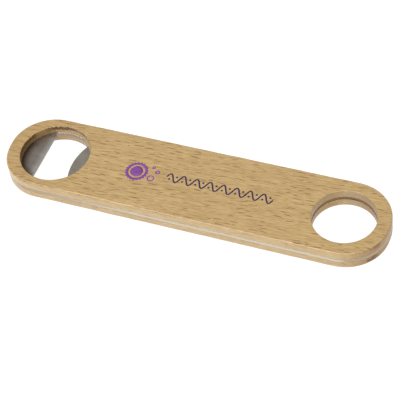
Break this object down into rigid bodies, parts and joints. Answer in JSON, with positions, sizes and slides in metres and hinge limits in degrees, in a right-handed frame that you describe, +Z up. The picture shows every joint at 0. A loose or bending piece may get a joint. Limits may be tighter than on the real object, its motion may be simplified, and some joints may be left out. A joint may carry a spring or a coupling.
{
  "type": "souvenir bottle opener",
  "caption": "Flat paddle bottle opener with rounded ends: a steel plate bonded between beech panels, with a cap-lifting mouth at one end and a round hanging hole at the other.",
  "frame": {"origin": "middle of the underside, the face that the opener lies on", "axes": "+X along the length from the cap-lifting end to the hanging end, +Y across the width, +Z up out of the printed face"},
  "size_m": [0.177, 0.04, 0.0092],
  "materials": {
    "beech": "sanded, thin matt oil, short dark ray flecks along the length",
    "steel": "satin, brushed along the length, cut edges ground",
    "adhesive": "thin cured film, seen only as a line on the edges",
    "printing_ink": "pad-printed decoration on the top face"
  },
  "bodies": {
    "root": {"bottom_panel": "beech", "lower_adhesive_film": "adhesive", "steel_plate": "steel", "upper_adhesive_film": "adhesive", "top_panel": "beech"}
  },
  "joints": []
}
